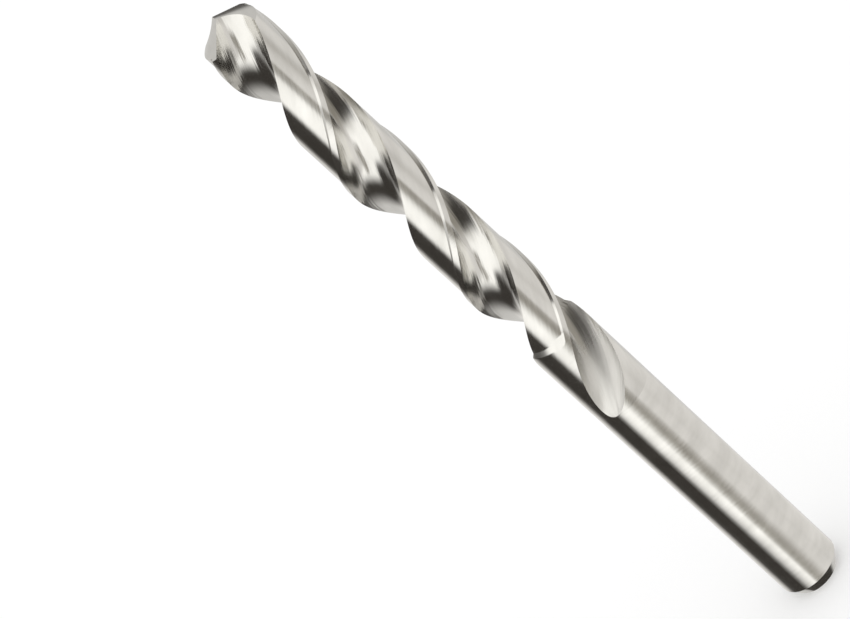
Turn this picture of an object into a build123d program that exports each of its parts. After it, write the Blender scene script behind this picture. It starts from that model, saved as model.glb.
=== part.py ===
from build123d import *
from math import asin, atan2, cos, degrees, hypot, radians, sin, sqrt, tan
import os

# Jobber-length twist drill, ground from one bar of high-speed steel.
# Z runs up the drill's axis, from the middle of the shank's end face to the point.
# X passes through the outer corner of the first lip. The second lip is the first one
# turned half round, and so are its flute, margin, land and flank.
# Sizes are in millimetres, and angles are in degrees unless a name says radians.

# Driving dimensions of the whole drill
DRILL_DIAMETER = 10.2
SHANK_DIAMETER = 10.16
OVERALL_LENGTH = 133.0
FLUTE_LENGTH = 86.0
HELIX_LEAD = 51.1
POINT_ANGLE = 118.0
LIPS = 2

# Section across the flutes
WEB_AT_POINT = 1.5
WEB_GROWTH_PER_MM = 0.016
LAND_ANGLE = 82.0
CLEARANCE_DIAMETER = 9.5
MARGIN_ANGLE = 11.0

# Where the grinding wheels leave the bar, as heights
FLUTE_LIFT_START = 61.5
FLUTE_LIFT_ANGLE = 75.0
CLEARANCE_END = 62.6
CLEARANCE_RAMP = 0.7

# Height at which the plain shank ends and the body's slight back taper begins
SHANK_LENGTH = 46.5

# Bevel at the shank's end
BEVEL_HEIGHT = 2.08
BEVEL_DEPTH = 1.26

# Conical grinding of the point: each flank is part of a large cone that holds its lip.
FLANK_CONE_HALF_ANGLE = 54.0
FLANK_RELIEF_ANGLE = 6.0
FLANK_VERTEX_DISTANCE = 3.0

# How far cutters reach past the bar, and how finely a flute is laid out
OVERSHOOT = 2.0
RAKE_STEPS = 7
SECTIONS_PER_TURN = 24

# Values worked out from the driving dimensions
RADIUS = DRILL_DIAMETER / 2
SHANK_RADIUS = SHANK_DIAMETER / 2
CLEARANCE_RADIUS = CLEARANCE_DIAMETER / 2
FLUTE_ANGLE = 360 / LIPS - LAND_ANGLE
FLUTE_END = OVERALL_LENGTH - FLUTE_LENGTH
TWIST_PER_MM = 360 / HELIX_LEAD
HALF_POINT = radians(POINT_ANGLE / 2)
HALF_WEB_AT_POINT = WEB_AT_POINT / 2


def polar(radius, angle):
    """Point of the XY plane, from its radius and angle."""
    return Vector(radius * cos(radians(angle)), radius * sin(radians(angle)))


def flank_directions():
    """Direction of a lip that runs along +X, and of the axis of its flank's cone."""
    lip = Vector(sin(HALF_POINT), 0, -cos(HALF_POINT))
    inward = Vector(-cos(HALF_POINT), 0, -sin(HALF_POINT))
    inward = inward.rotate(Axis((0, 0, 0), lip), FLANK_RELIEF_ANGLE)
    half_angle = radians(FLANK_CONE_HALF_ANGLE)
    return lip, lip * cos(half_angle) + inward * sin(half_angle)


def chisel_drop():
    """Height from the middle of the chisel edge up to the lip's line at the drill's middle."""
    lip, axis = flank_directions()
    vertex = Vector(0, HALF_WEB_AT_POINT, 0) - lip * FLANK_VERTEX_DISTANCE
    # The drill's axis meets the cone at the root of a * rise**2 + b * rise + c.
    cosine = cos(radians(FLANK_CONE_HALF_ANGLE))
    along = -(vertex.X * axis.X + vertex.Y * axis.Y)
    a = axis.Z**2 - cosine**2
    b = 2 * along * axis.Z
    c = along**2 - cosine**2 * (vertex.X**2 + vertex.Y**2)
    rise = (-b - sqrt(b**2 - 4 * a * c)) / (2 * a)
    return -(vertex.Z + rise)


def lip_reach(half_web):
    """Distance from the drill's middle to a lip's outer corner, along the lip."""
    return sqrt(RADIUS**2 - half_web**2)


LIP_MIDDLE_Z = OVERALL_LENGTH + chisel_drop()
CORNER_Z = LIP_MIDDLE_Z - lip_reach(HALF_WEB_AT_POINT) / tan(HALF_POINT)


def half_web(z):
    """Half the web's thickness, which grows from the point towards the shank."""
    return (WEB_AT_POINT + WEB_GROWTH_PER_MM * (CORNER_Z - z)) / 2


def wheel_lift(z):
    """How far the flute's section has moved out of the bar, along its run-out."""
    share = (FLUTE_LIFT_START - z) / (FLUTE_LIFT_START - FLUTE_END)
    return (SHANK_RADIUS - half_web(FLUTE_END)) * max(0, share) ** 2


def rake_point(web, distance):
    """Point of the rake face's section that makes a lip straight, by distance along the lip."""
    reach = lip_reach(web)
    lag = TWIST_PER_MM * (reach - distance) / tan(HALF_POINT)
    angle = degrees(atan2(web, distance) - asin(web / RADIUS))
    return polar(hypot(distance, web), angle - lag)


def rake_curve(web):
    """Rake face's section, from outside the bar down to the web."""
    outer = lip_reach(web) + OVERSHOOT
    distances = [outer * (1 - i / RAKE_STEPS) for i in range(RAKE_STEPS + 1)]
    return Edge.make_spline([rake_point(web, distance) for distance in distances])


def heel_curve(bottom):
    """Round wall's section, from the flute's bottom through the heel to outside the bar."""
    web = bottom.length
    outward = bottom.normalized()
    sideways = Vector(-outward.Y, outward.X)
    heel = polar(CLEARANCE_RADIUS, FLUTE_ANGLE)
    along = heel.dot(outward)
    wall_radius = (heel.length**2 + web**2 - 2 * web * along) / (2 * (along - web))
    centre = outward * (web + wall_radius)
    return Edge.make_three_point_arc(
        bottom, centre + sideways * wall_radius, centre + outward * wall_radius
    )


def flute_section(z):
    """Closed section of the first flute's cutter at a height."""
    rake = rake_curve(half_web(z))
    heel = heel_curve(rake @ 1)
    outside = polar(RADIUS + 2 * OVERSHOOT, FLUTE_ANGLE / 4)
    open_side = Edge.make_three_point_arc(heel @ 1, outside, rake @ 0)
    section = Wire([rake, heel, open_side])
    section = section.translate(polar(wheel_lift(z), FLUTE_LIFT_ANGLE))
    section = section.rotate(Axis.Z, TWIST_PER_MM * (z - CORNER_Z))
    return section.translate(Vector(0, 0, z))


def flute_cutter():
    """Helical cutter of the first flute, from below its run-out to above the point."""
    bottom = FLUTE_END - OVERSHOOT
    height = OVERALL_LENGTH + OVERSHOOT - bottom
    steps = round(height / HELIX_LEAD * SECTIONS_PER_TURN)
    return Solid.make_loft([flute_section(bottom + height * i / steps) for i in range(steps + 1)])


def pie_slice(start, end, radius):
    """Slice of a disc between two angles."""
    first = polar(radius, start)
    last = polar(radius, end)
    rim = Edge.make_three_point_arc(first, polar(radius, (start + end) / 2), last)
    return Wire([Edge.make_line((0, 0), first), rim, Edge.make_line(last, (0, 0))])


def clearance_cutter():
    """Cutter of the body clearance behind the first margin, with its ramp at the end."""
    outer = RADIUS + OVERSHOOT
    top = OVERALL_LENGTH + OVERSHOOT
    bottom = CLEARANCE_END - CLEARANCE_RAMP * (outer - CLEARANCE_RADIUS) / (RADIUS - CLEARANCE_RADIUS)
    outline = Polyline(
        (CLEARANCE_RADIUS, 0, CLEARANCE_END),
        (outer, 0, bottom),
        (outer, 0, top),
        (CLEARANCE_RADIUS, 0, top),
        close=True,
    )
    ring = revolve(make_face(outline), Axis.Z)
    end = -LAND_ANGLE - MARGIN_ANGLE
    slice_wire = pie_slice(-MARGIN_ANGLE, end, outer + OVERSHOOT)
    slice_wire = slice_wire.rotate(Axis.Z, TWIST_PER_MM * (bottom - CORNER_Z))
    twisted = Solid.extrude_linear_with_rotation(
        slice_wire.translate(Vector(0, 0, bottom)),
        (0, 0, bottom),
        (0, 0, top - bottom),
        TWIST_PER_MM * (top - bottom),
    )
    return ring & twisted


def flank_cutter():
    """Everything above the cone that holds the first lip."""
    lip, axis = flank_directions()
    vertex = Vector(0, HALF_WEB_AT_POINT, LIP_MIDDLE_Z) - lip * FLANK_VERTEX_DISTANCE
    height = 4 * RADIUS
    base = Plane(vertex + axis * height, z_dir=-axis)
    cone = Solid.make_cone(height * tan(radians(FLANK_CONE_HALF_ANGLE)), 0, height, base)
    stock = Solid.make_cylinder(RADIUS + OVERSHOOT, 3 * RADIUS, Plane((0, 0, CORNER_Z - RADIUS / 2)))
    return (stock - cone).rotate(Axis.Z, -degrees(asin(HALF_WEB_AT_POINT / RADIUS)))


def bar():
    """Round bar: a bevelled shank, and a body that widens to the full diameter at the lips."""
    top = OVERALL_LENGTH + OVERSHOOT / 2
    widening = (RADIUS - SHANK_RADIUS) / (CORNER_Z - SHANK_LENGTH)
    outline = Polyline(
        (0, 0, 0),
        (SHANK_RADIUS - BEVEL_DEPTH, 0, 0),
        (SHANK_RADIUS, 0, BEVEL_HEIGHT),
        (SHANK_RADIUS, 0, SHANK_LENGTH),
        (SHANK_RADIUS + widening * (top - SHANK_LENGTH), 0, top),
        (0, 0, top),
        close=True,
    )
    # The seam of the round faces lies in a flute at the point, clear of the lips' corners.
    return revolve(make_face(outline), Axis.Z).rotate(Axis.Z, FLUTE_ANGLE / 2)


def twist_drill():
    """The finished drill: the bar less its flutes, body clearances and flanks."""
    drill = bar()
    for cutter in (flute_cutter(), clearance_cutter(), flank_cutter()):
        for i in range(LIPS):
            drill -= cutter.rotate(Axis.Z, i * 360 / LIPS)
    return drill


os.makedirs("parts", exist_ok=True)
export_step(twist_drill(), "parts/twist_drill.step")
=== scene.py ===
import math
from collections import namedtuple

import bmesh
import bpy
import numpy as np
from mathutils import Matrix, Vector


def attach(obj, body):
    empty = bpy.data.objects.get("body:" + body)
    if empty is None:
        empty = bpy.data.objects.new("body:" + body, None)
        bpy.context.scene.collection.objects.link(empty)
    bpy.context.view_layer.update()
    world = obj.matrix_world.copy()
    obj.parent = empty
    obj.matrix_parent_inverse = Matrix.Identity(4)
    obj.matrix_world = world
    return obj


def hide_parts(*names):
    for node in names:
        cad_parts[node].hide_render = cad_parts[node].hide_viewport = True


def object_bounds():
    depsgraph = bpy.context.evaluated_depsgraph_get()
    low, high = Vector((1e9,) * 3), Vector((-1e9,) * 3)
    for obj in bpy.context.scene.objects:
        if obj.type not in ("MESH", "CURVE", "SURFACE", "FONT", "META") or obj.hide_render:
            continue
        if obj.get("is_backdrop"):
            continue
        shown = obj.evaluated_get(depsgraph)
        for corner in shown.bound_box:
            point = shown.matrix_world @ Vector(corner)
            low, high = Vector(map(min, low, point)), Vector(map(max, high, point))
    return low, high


# Looks of a ground twist drill. Z runs up the drill's axis from the shank's end to the point,
# X passes through the outer corner of the first lip, and lengths of the drill are in millimetres.

MM = 0.001
TINY = 1e-4

# The drill
DRILL_DIAMETER = 10.2
SHANK_DIAMETER = 10.16
OVERALL_LENGTH = 133.0
FLUTE_LENGTH = 86.0
HELIX_LEAD = 51.1
POINT_ANGLE = 118.0
WEB_AT_POINT = 1.5
WEB_GROWTH_PER_MM = 0.016
LAND_ANGLE = 82.0
CLEARANCE_DIAMETER = 9.5
MARGIN_ANGLE = 11.0
FLUTE_LIFT_START = 61.5
FLUTE_LIFT_ANGLE = 75.0
CLEARANCE_END = 62.6
CLEARANCE_RAMP = 0.7
SHANK_LENGTH = 46.5
BEVEL_HEIGHT = 2.08
BEVEL_DEPTH = 1.26
FLANK_CONE_HALF_ANGLE = 54.0
FLANK_RELIEF_ANGLE = 6.0
FLANK_VERTEX_DISTANCE = 3.0

# How finely its sections are laid out: parts along the margin, the cleared land, the heel's wall,
# the rake face inside the lip, the lip itself and the chisel edge
MARGIN_STEPS = 6
LAND_STEPS = 31
HEEL_STEPS = 27
INNER_STEPS = 4
LIP_STEPS = 24
CHISEL_STEPS = MARGIN_STEPS + LAND_STEPS - HEEL_STEPS - INNER_STEPS
SHANK_RINGS = 3
POINT_RINGS = 10
RING_SPACING = 0.5
TOP_RING = 128.0

# The flutes' tips at the shank, where the rings stand closer together
TIP_LENGTH = 4.0
TIP_RINGS = 14

# Places on the flute's section between which its rims are looked for
HEEL_LIMIT = -2.0
LEAD_LIMIT = 6.4
RIM_SAMPLES = 900

# Where the flutes leave the bar: heights from the flutes' nominal end, and places on the section
RUN_OUT_BELOW = 2.0
RUN_OUT_ABOVE = 5.0
RUN_OUT_PLACES = (-1.0, 2.0)
RUN_OUT_SAMPLES = 600

# Distances along a lip between which it meets the chisel edge, and slack above the point and shank
CHISEL_LIMITS = (0.05, 2.0)
POINT_SLACK = 0.4
SHANK_SLACK = 0.2
SEARCH_ROUNDS = 50

# Angle, in degrees, over which the foot of the margin's step slopes down to the land
STEP_ANGLE = 3.0

# Edges that turn by more than this many degrees stay sharp
SHARP_ANGLE = 29.0

# Drift of a flute's grinding lines across it for each millimetre up the drill
WHEEL_SLANT = 0.3

# Length over which the marks of the run-out come in
RUN_OUT_BLEND = 8.0

# Grinding lines: sizes of the grain across and along them in millimetres, and its detail
FINE_GRAIN = (0.2, 6.0, 2)
COARSE_GRAIN = (0.45, 12.0, 2)
CLOUD_GRAIN = (3.0, 7.0, 3)

# Depths of the grain in millimetres, and the share of them outside the flutes
FINE_DEPTH = 0.010
COARSE_DEPTH = 0.024
FINISH = 0.15

# Steel
STEEL_DULL = (0.62, 0.61, 0.585, 1)
STEEL_BRIGHT = (0.85, 0.84, 0.815, 1)
ROUGHNESS = 0.10
ROUGHNESS_SPREAD = 0.10
FLUTE_ROUGHNESS = 0.08
RUN_OUT_ROUGHNESS = 0.24

# Floor: its size in metres, its colour, and how much it glows to the camera alone
FLOOR_SIZE = 4.0
FLOOR_COLOUR = (0.9, 0.9, 0.9, 1)
FLOOR_GLOW = 0.12

# Camera: its place and a point that it looks at, its roll in degrees, its lens and the nearest and
# farthest that it sees, in metres
CAMERA_PLACE = (330.38, 364.2, 343.5)
CAMERA_AIM = (7.57, -6.59, 79.34)
CAMERA_ROLL = -47.94
CAMERA_LENS = 168.1
SENSOR_WIDTH = 36.0
NEAREST = 0.01
FARTHEST = 20.0

# Tones of the studio, as mirrored in the steel
STUDIO_WALL = (0.70, 0.69, 0.67)
BLACK_CARD = (0.05, 0.045, 0.04)
GREY_CARD = (0.30, 0.28, 0.24)
PALE_CARD = (0.85, 0.83, 0.80)
WHITE_CARD = (1.30, 1.29, 1.25)

# Soft-edged cards around the drill, in degrees from the direction towards the camera. Each covers
# the ones above it in the list.
Card = namedtuple("Card", "right up half_width half_height turn softness tone")
STUDIO_CARDS = [
    Card(5, -85, 100, 30, 20, 15, BLACK_CARD),  # dark strip below the camera
    Card(90, -90, 60, 15, 50, 10, BLACK_CARD),  # the strip's right end, turned up
    Card(-75, -150, 50, 25, -35, 20, PALE_CARD),  # pale end of the strip, far down
    Card(-10, -40, 50, 25, 10, 5, WHITE_CARD),  # white card over the strip, left part
    Card(35, -55, 45, 15, 20, 10, WHITE_CARD),  # and right part
    Card(45, -10, 25, 10, 30, 5, WHITE_CARD),  # and its end beside the camera
    Card(70, -10, 15, 40, -15, 5, PALE_CARD),  # pale wall on the right
    Card(45, -40, 5, 25, -25, 5, GREY_CARD),  # grey gap between wall and card
    Card(40, 15, 45, 15, 30, 15, GREY_CARD),  # grey band above the camera
    Card(10, -5, 35, 10, 30, 5, BLACK_CARD),  # dark place where the camera stands
    Card(-50, -20, 30, 10, 0, 5, PALE_CARD),  # pale strip on the left
    Card(-10, 5, 10, 15, -40, 5, PALE_CARD),  # pale patch above it
    Card(-45, 145, 20, 10, -20, 10, BLACK_CARD),  # dark corner high behind
    Card(120, 45, 35, 35, 0, 10, PALE_CARD),  # pale light at the upper right
]

# Values worked out from the drill's sizes
RADIUS = DRILL_DIAMETER / 2
SHANK_RADIUS = SHANK_DIAMETER / 2
CLEARANCE_RADIUS = CLEARANCE_DIAMETER / 2
FLUTE_ANGLE = math.radians(180 - LAND_ANGLE)
FLUTE_END = OVERALL_LENGTH - FLUTE_LENGTH
TWIST_PER_MM = math.radians(360 / HELIX_LEAD)
HALF_POINT = math.radians(POINT_ANGLE / 2)
HALF_WEB_AT_POINT = WEB_AT_POINT / 2
CORNER_LAG = math.asin(HALF_WEB_AT_POINT / RADIUS)
LIP = np.array([math.sin(HALF_POINT), 0, -math.cos(HALF_POINT)])
CONE_VERTEX = np.array([0, HALF_WEB_AT_POINT, 0]) - LIP * FLANK_VERTEX_DISTANCE


def cone_axis():
    """Direction of the axis of the cone that holds a lip running along +X."""
    inward = np.array([-math.cos(HALF_POINT), 0, -math.sin(HALF_POINT)])
    relief = math.radians(FLANK_RELIEF_ANGLE)
    inward = inward * math.cos(relief) + np.cross(LIP, inward) * math.sin(relief)
    half_angle = math.radians(FLANK_CONE_HALF_ANGLE)
    return LIP * math.cos(half_angle) + inward * math.sin(half_angle)


CONE_AXIS = cone_axis()


def cone_height(x, y):
    """Height of that cone above the lip's line at the drill's middle."""
    cosine = math.cos(math.radians(FLANK_CONE_HALF_ANGLE))
    x = x - CONE_VERTEX[0]
    y = y - CONE_VERTEX[1]
    along = x * CONE_AXIS[0] + y * CONE_AXIS[1]
    a = CONE_AXIS[2] ** 2 - cosine**2
    b = 2 * along * CONE_AXIS[2]
    c = along**2 - cosine**2 * (x**2 + y**2)
    return CONE_VERTEX[2] + (-b - np.sqrt(np.maximum(b**2 - 4 * a * c, 0))) / (2 * a)


LIP_MIDDLE_Z = OVERALL_LENGTH - float(cone_height(0, 0))
CORNER_Z = LIP_MIDDLE_Z - math.sqrt(RADIUS**2 - HALF_WEB_AT_POINT**2) / math.tan(HALF_POINT)


def flank_height(x, y, half):
    """Height of a flank of the point, for half 0 or 1, over places in the drill's section."""
    angle = CORNER_LAG + math.pi * half
    c, s = math.cos(angle), math.sin(angle)
    return LIP_MIDDLE_Z + cone_height(c * x - s * y, s * x + c * y)


def half_web(z):
    """Half the web's thickness at a height."""
    return (WEB_AT_POINT + WEB_GROWTH_PER_MM * (CORNER_Z - z)) / 2


def bar_radius(z):
    """Radius over the margins, which tapers slightly from the lips back to the shank."""
    share = np.clip((z - SHANK_LENGTH) / (CORNER_Z - SHANK_LENGTH), 0, 1)
    return SHANK_RADIUS + (RADIUS - SHANK_RADIUS) * share


def land_radius(z):
    """Radius of the land behind the margin."""
    share = np.clip((z - CLEARANCE_END) / CLEARANCE_RAMP + 1, 0, 1)
    return bar_radius(z) + (CLEARANCE_RADIUS - bar_radius(z)) * share


def wheel_lift(z):
    """Shift of the flute's section out of the bar, along its run-out."""
    share = np.maximum(0, (FLUTE_LIFT_START - z) / (FLUTE_LIFT_START - FLUTE_END))
    lift = (SHANK_RADIUS - half_web(FLUTE_END)) * share**2
    angle = math.radians(FLUTE_LIFT_ANGLE)
    return lift * math.cos(angle), lift * math.sin(angle)


def rake_curve(web, distance):
    """Rake face's section, by distance along the lip."""
    reach = np.sqrt(RADIUS**2 - web**2)
    lag = TWIST_PER_MM * (reach - distance) / math.tan(HALF_POINT)
    angle = np.arctan2(web, distance) - np.arcsin(web / RADIUS) - lag
    size = np.hypot(distance, web)
    return size * np.cos(angle), size * np.sin(angle)


def heel_curve(web, turn):
    """Heel wall's section: an arc from the flute's bottom through the heel, by its turn."""
    x, y = rake_curve(web, 0.0)
    size = np.hypot(x, y)
    x, y = x / size, y / size
    heel_x = CLEARANCE_RADIUS * math.cos(FLUTE_ANGLE)
    heel_y = CLEARANCE_RADIUS * math.sin(FLUTE_ANGLE)
    along = heel_x * x + heel_y * y
    wall = (CLEARANCE_RADIUS**2 + size**2 - 2 * size * along) / (2 * (along - size))
    out = size + wall * (1 - np.cos(turn))
    side = wall * np.sin(turn)
    return out * x - side * y, out * y + side * x


def flute_curve(z, place):
    """Section of the first flute: the rake face where place is positive, else the heel's wall."""
    web = half_web(z)
    rake = rake_curve(web, np.maximum(place, 0))
    heel = heel_curve(web, -np.minimum(place, 0))
    shift = wheel_lift(z)
    return [np.where(place < 0, h, r) + s for h, r, s in zip(heel, rake, shift)]


def search(inside, low, high):
    """Place between low and high where inside turns from true to false."""
    for _ in range(SEARCH_ROUNDS):
        middle = (low + high) / 2
        within = inside(middle)
        low = np.where(within, middle, low)
        high = np.where(within, high, middle)
    return (low + high) / 2


def flute_rims(z):
    """Places on the flute's section of its heel and of its leading edge."""
    places = np.linspace(HEEL_LIMIT, LEAD_LIMIT, RIM_SAMPLES)
    depth = np.hypot(*flute_curve(z[:, None], places[None, :]))
    deepest = places[depth.argmin(1)]
    reach = lambda place: np.hypot(*flute_curve(z, place))
    heel = search(lambda p: reach(p) < land_radius(z), deepest, np.full_like(z, HEEL_LIMIT))
    lead = search(lambda p: reach(p) < bar_radius(z), deepest, np.full_like(z, LEAD_LIMIT))
    return heel, lead


def chisel_corner():
    """Distance along a lip at which it meets the chisel edge."""
    lip_height = lambda d: -d / math.tan(HALF_POINT)
    below_lip = lambda d: cone_height(-d, -HALF_WEB_AT_POINT) < lip_height(d)
    return float(search(below_lip, *CHISEL_LIMITS))


def flute_shares():
    """Where each point of a flute's section lies, as shares of the way from heel to leading edge."""
    heel, lead = (float(rim[0]) for rim in flute_rims(np.array([CORNER_Z])))
    corner = chisel_corner()
    wall = np.linspace(heel, 0, HEEL_STEPS + 1)[:-1]
    inner = np.linspace(0, corner, INNER_STEPS + 1)[:-1]
    lip = np.linspace(corner, lead - (RADIUS - CLEARANCE_RADIUS), LIP_STEPS)
    return (np.concatenate([wall, inner, lip, [lead]]) - heel) / (lead - heel)


def arc(radius, start, end, steps):
    """Points of an arc for every height, as x and y."""
    angle = start[:, None] + (end - start)[:, None] * np.linspace(0, 1, steps + 1)
    return radius[:, None] * np.cos(angle), radius[:, None] * np.sin(angle)


def sections(z):
    """Outlines of the drill at heights, before they are turned along the helix."""
    heel, lead = flute_rims(z)
    places = heel[:, None] + (lead - heel)[:, None] * flute_shares()
    flute = flute_curve(z[:, None], places)
    lead_angle = np.arctan2(flute[1][:, -1], flute[0][:, -1])
    heel_angle = np.arctan2(flute[1][:, 0], flute[0][:, 0]) - math.pi
    margin_end = np.full_like(z, -math.radians(MARGIN_ANGLE))
    margin = arc(bar_radius(z), lead_angle, margin_end, MARGIN_STEPS)
    step_end = margin_end - math.radians(STEP_ANGLE)
    land = arc(land_radius(z), step_end, heel_angle, LAND_STEPS)
    half = [np.concatenate([m, l, -f[:, 1:-1]], 1) for m, l, f in zip(margin, land, flute)]
    whole = [np.concatenate([h, -h], 1) for h in half]
    return np.stack(whole, -1)


def turned(outlines, z):
    """Outlines turned along the helix to their heights, as points in space."""
    z = np.broadcast_to(z, outlines.shape[:-1])
    angle = TWIST_PER_MM * (z - CORNER_Z)
    x = np.cos(angle) * outlines[..., 0] - np.sin(angle) * outlines[..., 1]
    y = np.sin(angle) * outlines[..., 0] + np.cos(angle) * outlines[..., 1]
    return np.stack([x, y, z], -1)


def run_out_end():
    """Height at which the flutes leave the bar."""
    places = np.linspace(*RUN_OUT_PLACES, RUN_OUT_SAMPLES)
    depth = lambda z: np.hypot(*flute_curve(np.full_like(places, z), places)).min()
    outside = lambda z: depth(z) > bar_radius(z)
    return float(search(outside, FLUTE_END - RUN_OUT_BELOW, FLUTE_END + RUN_OUT_ABOVE))


def ring_heights():
    """Heights of the outlines of the fluted body, closer together where the flutes run out."""
    end = run_out_end()
    heights = [end + TINY + TIP_LENGTH * np.linspace(0, 1, TIP_RINGS + 1)[:-1] ** 2]
    marks = [end + TIP_LENGTH, FLUTE_LIFT_START, CLEARANCE_END - CLEARANCE_RAMP, CLEARANCE_END, TOP_RING]
    for low, high in zip(marks, marks[1:]):
        heights.append(np.linspace(low, high, max(1, round((high - low) / RING_SPACING)) + 1)[:-1])
    return np.concatenate(heights + [[TOP_RING]])


def body_rings():
    """Rings of points up the drill, from the shank's end face to the rim of the point."""
    heights = ring_heights()
    fluted = turned(sections(heights), heights[:, None])
    round_ring = fluted[0] * [1, 1, 0]
    round_ring = round_ring / np.hypot(round_ring[:, 0], round_ring[:, 1])[:, None]
    shank = [
        round_ring * (SHANK_RADIUS - BEVEL_DEPTH),
        round_ring * SHANK_RADIUS + [0, 0, BEVEL_HEIGHT],
        round_ring * SHANK_RADIUS + [0, 0, SHANK_LENGTH],
    ]
    return np.concatenate([shank, fluted, point_rings()])


def point_rings():
    """Rings from the top full ring to the flanks, one point above another along the helix."""
    low, high = sections(np.array([TOP_RING, OVERALL_LENGTH]))

    def at(z):
        share = ((z - TOP_RING) / (OVERALL_LENGTH - TOP_RING))[:, None]
        return turned(low + (high - low) * share, z)

    def below_flanks(z):
        x, y, _ = at(z).T
        return z < np.minimum(flank_height(x, y, 0), flank_height(x, y, 1))

    start = np.full(len(low), TOP_RING)
    rim = search(below_flanks, start, np.full_like(start, OVERALL_LENGTH + POINT_SLACK))
    shares = np.arange(1, POINT_RINGS + 1) / POINT_RINGS
    return np.array([at(start + (rim - start) * share) for share in shares])


def wall_faces(rings, count):
    """Faces between rings of count points."""
    faces = []
    for r in range(rings - 1):
        for i in range(count):
            j = (i + 1) % count
            faces.append((r * count + j, r * count + i, (r + 1) * count + i, (r + 1) * count + j))
    return faces


def flank_grid(rim, half):
    """Points of one flank: rows from its lip round to its heel, from the middle outwards.
    The last column stands out over the margin, and beyond it repeats the one before."""
    rim = np.roll(rim, -half * len(rim) // 2, 0)
    step = MARGIN_STEPS + 1
    heel = step + LAND_STEPS
    corner = heel + HEEL_STEPS + INNER_STEPS
    lip = rim[(corner + len(rim) // 2 + np.arange(LIP_STEPS + 1)) % len(rim)]
    chisel = lip[0] + (rim[corner] - lip[0]) * np.linspace(0, 1, CHISEL_STEPS + 1)[:, None]
    chisel[:, 2] = sum(flank_height(chisel[:, 0], chisel[:, 1], h) for h in (0, 1)) / 2
    inner = np.concatenate([chisel, rim[corner - 1 : heel - 1 : -1]])
    collar = rim[:step] * (CLEARANCE_RADIUS / RADIUS)
    collar[0] = lip[-2]
    collar[-1] = rim[step]
    outer = np.concatenate([collar, rim[step + 1 : heel + 1]])
    shares = np.hypot(*(lip[:-1] - lip[0])[:, :2].T)
    shares = (shares / shares[-1])[None, :, None]
    grid = inner[:, None] + (outer - inner)[:, None] * shares
    grid[..., 2] = flank_height(grid[..., 0], grid[..., 1], half)
    grid[0] = lip[:-1]
    grid[:, 0] = inner
    grid[step:, -1] = outer[step:]
    last = grid[:, -1:].copy()
    last[:step, 0] = rim[:step]
    return np.concatenate([grid, last], 1)


def grid_faces(rows, columns, first):
    """Faces of a flank's grid whose first point has the given number."""
    faces = []
    for r in range(rows - 1):
        for c in range(columns - (1 if r < MARGIN_STEPS else 2)):
            a = first + r * columns + c
            faces.append((a, a + 1, a + columns + 1, a + columns))
    return faces


def ring_surfaces(count):
    """Kind of surface on each part of a ring: margin, step, land or flute."""
    flute = HEEL_STEPS + INNER_STEPS + LIP_STEPS
    half = ["margin"] * MARGIN_STEPS + ["step"] + ["land"] * LAND_STEPS + ["flute"] * flute
    assert 2 * len(half) == count
    return half * 2


def drill_mesh():
    """The drill as one closed mesh, in metres, with a map along its grinding lines."""
    rings = body_rings()
    count = rings.shape[1]
    grids = [flank_grid(rings[-1], half) for half in (0, 1)]
    points = np.concatenate([rings.reshape(-1, 3)] + [g.reshape(-1, 3) for g in grids])
    faces = wall_faces(len(rings), count)
    faces.append(tuple(range(count)))
    first = rings.shape[0] * count
    for grid in grids:
        faces += grid_faces(grid.shape[0], grid.shape[1], first)
        first += grid.shape[0] * grid.shape[1]
    mesh = bpy.data.meshes.new("ground_drill")
    mesh.from_pydata(points * MM, [], faces)
    map_grinding(mesh, rings)
    mark_flutes(mesh, ring_surfaces(count), len(rings))
    tidy_mesh(mesh)
    return mesh


def map_grinding(mesh, rings):
    """Maps each face in millimetres: first across its grinding lines, then along them."""
    count = rings.shape[1]
    kinds = ring_surfaces(count)
    layer = mesh.uv_layers.new(name="grinding")
    points = np.empty(len(mesh.vertices) * 3, np.float32)
    mesh.vertices.foreach_get("co", points)
    points = points.reshape(-1, 3) / MM
    section = rings[-POINT_RINGS - 2]
    steps = np.hypot(*(np.roll(section, -1, 0) - section)[:, :2].T)
    across = np.concatenate([[0], np.cumsum(steps)])
    walls = (len(rings) - 1) * count
    values = np.zeros((len(mesh.loops), 2), np.float32)
    for polygon in mesh.polygons:
        corners = list(polygon.loop_indices)
        places = points[[mesh.loops[c].vertex_index for c in corners]]
        if polygon.index > walls:
            values[corners] = flank_map(places)
            continue
        if polygon.index == walls:
            values[corners] = places[:, :2]
            continue
        part = polygon.index % count
        if kinds[part] == "margin" or places[:, 2].max() < SHANK_LENGTH + SHANK_SLACK:
            angle = np.unwrap(np.arctan2(places[:, 1], places[:, 0]))
            values[corners] = np.stack([places[:, 2], angle * RADIUS], 1)
            continue
        side = np.array([across[part + 1], across[part], across[part], across[part + 1]])
        if kinds[part] == "flute":
            side = side + places[:, 2] * WHEEL_SLANT
        values[corners] = np.stack([side, places[:, 2]], 1)
    layer.uv.foreach_set("vector", values.ravel())


def mark_flutes(mesh, kinds, rings):
    """Marks the faces of the flutes and of their run-out, which carry coarser grinding lines."""
    layer = mesh.attributes.new("flute", "FLOAT", "FACE")
    count = len(kinds)
    values = np.zeros(len(mesh.polygons), np.float32)
    walls = np.arange((rings - 1) * count)
    fluted = np.array([kind == "flute" for kind in kinds])
    values[walls] = fluted[walls % count] & (walls // count >= SHANK_RINGS)
    layer.data.foreach_set("value", values)
    centres = np.empty(len(values) * 3, np.float32)
    mesh.polygons.foreach_get("center", centres)
    depth = (FLUTE_LIFT_START - centres[2::3] / MM) / RUN_OUT_BLEND
    layer = mesh.attributes.new("run_out", "FLOAT", "FACE")
    layer.data.foreach_set("value", (values * np.clip(depth, 0, 1)).astype(np.float32))


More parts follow.
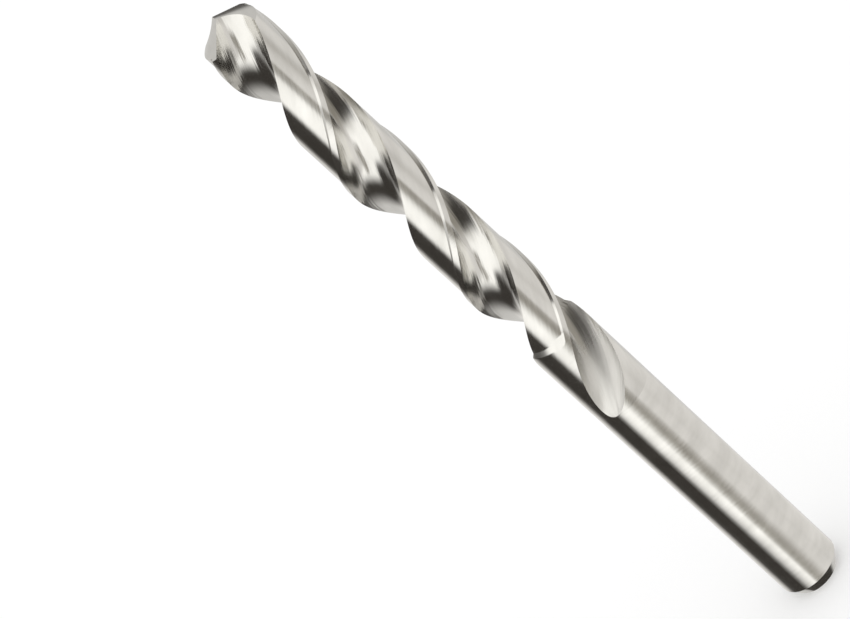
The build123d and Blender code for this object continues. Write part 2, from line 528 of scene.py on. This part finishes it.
def flank_map(places):
    """Map of a flank, whose grinding lines run round its cone."""
    best = None
    for half in (0, 1):
        angle = CORNER_LAG + math.pi * half
        c, s = math.cos(angle), math.sin(angle)
        local = places @ np.array([[c, s, 0], [-s, c, 0], [0, 0, 1]]) - [0, 0, LIP_MIDDLE_Z]
        gap = abs(local[:, 2] - cone_height(local[:, 0], local[:, 1])).max()
        if best is None or gap < best[0]:
            best = (gap, local)
    reach = np.linalg.norm(best[1] - CONE_VERTEX, axis=1)
    return np.stack([reach, best[1][:, 1]], 1)


def tidy_mesh(mesh):
    """Joins the mesh's seams, turns its faces outwards and marks its sharp edges."""
    work = bmesh.new()
    work.from_mesh(mesh)
    bmesh.ops.remove_doubles(work, verts=work.verts, dist=2 * TINY * MM)
    bmesh.ops.dissolve_degenerate(work, edges=work.edges, dist=TINY * MM)
    bmesh.ops.recalc_face_normals(work, faces=work.faces)
    for face in work.faces:
        face.smooth = True
    for edge in work.edges:
        edge.smooth = edge.calc_face_angle(math.pi) < math.radians(SHARP_ANGLE)
    work.to_mesh(mesh)
    work.free()


def camera_axes():
    """Directions to the right of the camera, up from it and back from where it looks."""
    back = (Vector(CAMERA_PLACE) - Vector(CAMERA_AIM)).normalized()
    level = Vector((0, 0, 1)).cross(back).normalized()
    roll = Matrix.Rotation(math.radians(CAMERA_ROLL), 3, back)
    right = roll @ level
    return right, back.cross(right), back


def add_camera():
    """Camera at the photograph's viewing angle."""
    data = bpy.data.cameras.new("camera")
    data.lens = CAMERA_LENS
    data.sensor_width = SENSOR_WIDTH
    data.clip_start = NEAREST
    data.clip_end = FARTHEST
    camera = bpy.data.objects.new("camera", data)
    turn = Matrix(camera_axes()).transposed().to_4x4()
    camera.matrix_world = Matrix.Translation(Vector(CAMERA_PLACE) * MM) @ turn
    bpy.context.scene.collection.objects.link(camera)
    bpy.context.scene.camera = camera


def link(tree, output, target):
    """Joins a node's output to an input of another node."""
    tree.links.new(output, target)


def math_node(tree, operation, *inputs):
    """Math node on numbers or other nodes' outputs."""
    node = tree.nodes.new("ShaderNodeMath")
    node.operation = operation
    for socket, value in zip(node.inputs, inputs):
        if isinstance(value, (int, float)):
            socket.default_value = value
        else:
            link(tree, value, socket)
    return node.outputs[0]


def dot_node(tree, vector, direction):
    """Share of a vector along a fixed direction."""
    node = tree.nodes.new("ShaderNodeVectorMath")
    node.operation = "DOT_PRODUCT"
    link(tree, vector, node.inputs[0])
    node.inputs[1].default_value = direction
    return node.outputs["Value"]


def ramp(tree, value, low, high):
    """Smooth rise from 0 to 1 as a value goes from low to high."""
    node = tree.nodes.new("ShaderNodeMapRange")
    node.interpolation_type = "SMOOTHSTEP"
    link(tree, value, node.inputs["Value"])
    node.inputs["From Min"].default_value = low
    node.inputs["From Max"].default_value = high
    return node.outputs["Result"]


def mixed(tree, share, first, second):
    """Colour between two colours."""
    node = tree.nodes.new("ShaderNodeMix")
    node.data_type = "RGBA"
    for name, value in (("Factor_Float", share), ("A_Color", first), ("B_Color", second)):
        socket = next(s for s in node.inputs if s.identifier == name)
        if isinstance(value, (tuple, float, int)):
            socket.default_value = value
        else:
            link(tree, value, socket)
    return next(s for s in node.outputs if s.identifier == "Result_Color")


def streaks(tree, across, along, detail):
    """Noise drawn out along the grinding lines, from its grain across and along them in mm."""
    place = tree.nodes.new("ShaderNodeUVMap")
    place.uv_map = "grinding"
    scale = tree.nodes.new("ShaderNodeMapping")
    scale.inputs["Scale"].default_value = (1 / across, 1 / along, 1)
    link(tree, place.outputs["UV"], scale.inputs["Vector"])
    noise = tree.nodes.new("ShaderNodeTexNoise")
    noise.noise_dimensions = "2D"
    noise.inputs["Scale"].default_value = 1
    noise.inputs["Detail"].default_value = detail
    link(tree, scale.outputs["Vector"], noise.inputs["Vector"])
    return noise.outputs["Fac"]


def marked(tree, name):
    """How far a place belongs to the faces of a mark."""
    mark = tree.nodes.new("ShaderNodeAttribute")
    mark.attribute_name = name
    return mark.outputs["Fac"]


def steel_material():
    """Bright ground high-speed steel, with its grinding lines."""
    material = bpy.data.materials.new("ground_steel")
    material.use_nodes = True
    tree = material.node_tree
    shader = tree.nodes["Principled BSDF"]
    shader.inputs["Metallic"].default_value = 1
    flute = marked(tree, "flute")
    run_out = marked(tree, "run_out")
    fine = streaks(tree, *FINE_GRAIN)
    coarse = streaks(tree, *COARSE_GRAIN)
    clouds = streaks(tree, *CLOUD_GRAIN)
    link(tree, mixed(tree, clouds, STEEL_DULL, STEEL_BRIGHT), shader.inputs["Base Color"])
    roughness = math_node(tree, "MULTIPLY_ADD", fine, ROUGHNESS_SPREAD, ROUGHNESS)
    roughness = math_node(tree, "MULTIPLY_ADD", flute, FLUTE_ROUGHNESS - ROUGHNESS, roughness)
    roughness = math_node(tree, "MULTIPLY_ADD", run_out, RUN_OUT_ROUGHNESS, roughness)
    link(tree, roughness, shader.inputs["Roughness"])
    height = math_node(tree, "MULTIPLY_ADD", coarse, COARSE_DEPTH / FINE_DEPTH, fine)
    depth = math_node(tree, "MULTIPLY_ADD", flute, FINE_DEPTH * (1 - FINISH), FINE_DEPTH * FINISH)
    bump = tree.nodes.new("ShaderNodeBump")
    bump.inputs["Distance"].default_value = MM
    link(tree, math_node(tree, "MULTIPLY", height, depth), bump.inputs["Height"])
    link(tree, bump.outputs["Normal"], shader.inputs["Normal"])
    return material


def add_drill(cad_box):
    """The drill, in place of the CAD model's."""
    mesh = drill_mesh()
    fit_inside(mesh, cad_box)
    mesh.materials.append(steel_material())
    drill = bpy.data.objects.new("ground_drill", mesh)
    bpy.context.scene.collection.objects.link(drill)
    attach(drill, "root")
    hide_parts("twist_drill")


def fit_inside(mesh, box):
    """Takes off the few thousandths of a millimetre by which the mesh stands out of a box."""
    low, high = np.array(box)
    points = np.empty(len(mesh.vertices) * 3, np.float32)
    mesh.vertices.foreach_get("co", points)
    points = np.clip(points.reshape(-1, 3), low, high)
    mesh.vertices.foreach_set("co", points.ravel().astype(np.float32))
    mesh.update()


def add_floor():
    """Plain pale floor under the drill, white to the camera but for the drill's shadow."""
    material = bpy.data.materials.new("floor")
    material.use_nodes = True
    tree = material.node_tree
    shader = tree.nodes["Principled BSDF"]
    shader.inputs["Base Color"].default_value = FLOOR_COLOUR
    shader.inputs["Roughness"].default_value = 1
    shader.inputs["Specular IOR Level"].default_value = 0
    rays = tree.nodes.new("ShaderNodeLightPath")
    shader.inputs["Emission Color"].default_value = (1, 1, 1, 1)
    glow = math_node(tree, "MULTIPLY", rays.outputs["Is Camera Ray"], FLOOR_GLOW)
    link(tree, glow, shader.inputs["Emission Strength"])
    half = FLOOR_SIZE / 2
    mesh = bpy.data.meshes.new("floor")
    corners = [(-half, -half, 0), (half, -half, 0), (half, half, 0), (-half, half, 0)]
    mesh.from_pydata(corners, [], [(0, 1, 2, 3)])
    mesh.materials.append(material)
    floor = bpy.data.objects.new("floor", mesh)
    floor.visible_glossy = False
    bpy.context.scene.collection.objects.link(floor)
    floor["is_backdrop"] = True


def card_mask(tree, place, card):
    """How much of a card there is at a place on the studio's map."""
    local = tree.nodes.new("ShaderNodeMapping")
    local.vector_type = "TEXTURE"
    local.inputs["Location"].default_value = (card.right, card.up, 0)
    local.inputs["Rotation"].default_value = (0, 0, math.radians(card.turn))
    link(tree, place, local.inputs["Vector"])
    parts = tree.nodes.new("ShaderNodeSeparateXYZ")
    link(tree, local.outputs["Vector"], parts.inputs["Vector"])
    masks = []
    for axis, half in (("X", card.half_width), ("Y", card.half_height)):
        distance = math_node(tree, "ABSOLUTE", parts.outputs[axis])
        masks.append(ramp(tree, distance, half + card.softness, half - card.softness))
    return math_node(tree, "MULTIPLY", *masks)


def studio_place(tree):
    """Where a ray's direction lies on the studio's map: degrees right of the camera's, and up."""
    direction = tree.nodes.new("ShaderNodeTexCoord").outputs["Generated"]
    right, up, towards = (dot_node(tree, direction, axis) for axis in camera_axes())
    angle = math_node(tree, "DEGREES", math_node(tree, "ARCCOSINE", towards))
    squares = [math_node(tree, "MULTIPLY", part, part) for part in (right, up)]
    size = math_node(tree, "SQRT", math_node(tree, "ADD", *squares))
    scale = math_node(tree, "DIVIDE", angle, math_node(tree, "MAXIMUM", size, TINY))
    place = tree.nodes.new("ShaderNodeCombineXYZ")
    link(tree, math_node(tree, "MULTIPLY", right, scale), place.inputs["X"])
    link(tree, math_node(tree, "MULTIPLY", up, scale), place.inputs["Y"])
    return place.outputs["Vector"]


def add_world():
    """Studio around the drill: soft cards by direction, with a white background to the camera."""
    world = bpy.data.worlds.new("studio")
    bpy.context.scene.world = world
    world.use_nodes = True
    tree = world.node_tree
    place = studio_place(tree)
    colour = (*STUDIO_WALL, 1)
    for card in STUDIO_CARDS:
        colour = mixed(tree, card_mask(tree, place, card), colour, (*card.tone, 1))
    plain = tree.nodes["Background"]
    plain.inputs["Color"].default_value = (1, 1, 1, 1)
    plain.inputs["Strength"].default_value = 1
    mirrored = tree.nodes.new("ShaderNodeBackground")
    link(tree, colour, mirrored.inputs["Color"])
    rays = tree.nodes.new("ShaderNodeLightPath")
    choice = tree.nodes.new("ShaderNodeMixShader")
    link(tree, rays.outputs["Is Glossy Ray"], choice.inputs["Fac"])
    link(tree, plain.outputs["Background"], choice.inputs[1])
    link(tree, mirrored.outputs["Background"], choice.inputs[2])
    link(tree, choice.outputs["Shader"], tree.nodes["World Output"].inputs["Surface"])
    world.cycles.sampling_method = "NONE"


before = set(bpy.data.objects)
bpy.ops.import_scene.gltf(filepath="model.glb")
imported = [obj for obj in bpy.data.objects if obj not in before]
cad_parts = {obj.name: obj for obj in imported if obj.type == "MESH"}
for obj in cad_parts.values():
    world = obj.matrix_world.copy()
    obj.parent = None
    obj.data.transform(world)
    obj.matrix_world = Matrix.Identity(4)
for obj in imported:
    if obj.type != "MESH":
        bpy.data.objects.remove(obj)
cad_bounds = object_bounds()
add_drill(cad_bounds)
add_floor()
add_camera()
add_world()
bpy.context.scene.view_settings.view_transform = "Standard"
bpy.context.view_layer.update()
size = {"cad": cad_bounds, "visual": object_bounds()}
size = {name: [[float(v) for v in corner] for corner in box] for name, box in size.items()}
